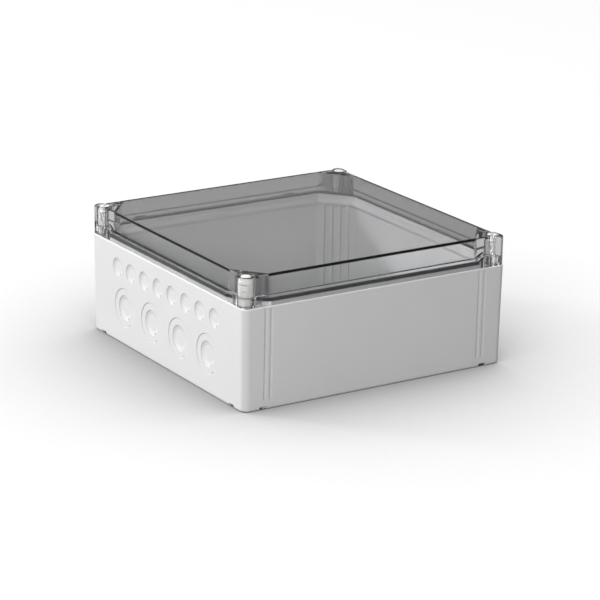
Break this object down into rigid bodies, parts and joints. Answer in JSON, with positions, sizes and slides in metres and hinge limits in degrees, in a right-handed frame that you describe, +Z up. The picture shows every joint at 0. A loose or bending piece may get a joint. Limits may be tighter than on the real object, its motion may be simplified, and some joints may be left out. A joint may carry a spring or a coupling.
{
  "type": "hinged polycarbonate enclosure",
  "caption": "Square light-grey moulded enclosure base with gland knockouts, closed by a hinged smoked clear lid with a seal and quarter-turn corner screws.",
  "frame": {"origin": "middle of the underside, at the centre of the wall-fixing pattern, on the surface that the enclosure rests on", "axes": "+Z up towards the lid, +X along the plain front wall to the right, +Y from the front wall to the hinge wall; the knockouts are on the -X and +X walls"},
  "size_m": [0.3, 0.3115, 0.132],
  "materials": {
    "base_plastic": "light grey moulded polycarbonate with a fine spark texture",
    "clear_plastic": "polished smoked transparent polycarbonate",
    "seal_rubber": "black foamed rubber seal",
    "washer_rubber": "grey rubber washer",
    "screw_plastic": "pale grey glass-filled polyamide",
    "steel": "stainless steel",
    "brass": "turned brass"
  },
  "bodies": {
    "base": {"enclosure_base": "base_plastic", "hinge_bracket_1": "base_plastic", "hinge_bracket_2": "base_plastic", "hinge_pin_1": "steel", "hinge_pin_2": "steel", "bracket_screws": "steel", "plate_inserts": "brass"},
    "lid": {"transparent_lid": "clear_plastic", "lid_gasket": "seal_rubber"},
    "screw_1": {"cover_screw_1": "screw_plastic", "screw_washer_1": "washer_rubber", "screw_clip_1": "steel"},
    "screw_2": {"cover_screw_2": "screw_plastic", "screw_washer_2": "washer_rubber", "screw_clip_2": "steel"},
    "screw_3": {"cover_screw_3": "screw_plastic", "screw_washer_3": "washer_rubber", "screw_clip_3": "steel"},
    "screw_4": {"cover_screw_4": "screw_plastic", "screw_washer_4": "washer_rubber", "screw_clip_4": "steel"}
  },
  "joints": [
    {"name": "lid_hinge", "type": "hinge", "parent": "base", "child": "lid", "pos_m": [0, 0.1575, 0.092], "axis": [-1, 0, 0], "range_deg": [0, 120]},
    {"name": "screw_1_turn", "type": "hinge", "parent": "lid", "child": "screw_1", "pos_m": [-0.141, -0.138, 0.12], "axis": [0, 0, 1], "range_deg": [0, 90]},
    {"name": "screw_2_turn", "type": "hinge", "parent": "lid", "child": "screw_2", "pos_m": [0.141, -0.138, 0.12], "axis": [0, 0, 1], "range_deg": [0, 90]},
    {"name": "screw_3_turn", "type": "hinge", "parent": "lid", "child": "screw_3", "pos_m": [0.141, 0.138, 0.12], "axis": [0, 0, 1], "range_deg": [0, 90]},
    {"name": "screw_4_turn", "type": "hinge", "parent": "lid", "child": "screw_4", "pos_m": [-0.141, 0.138, 0.12], "axis": [0, 0, 1], "range_deg": [0, 90]}
  ]
}
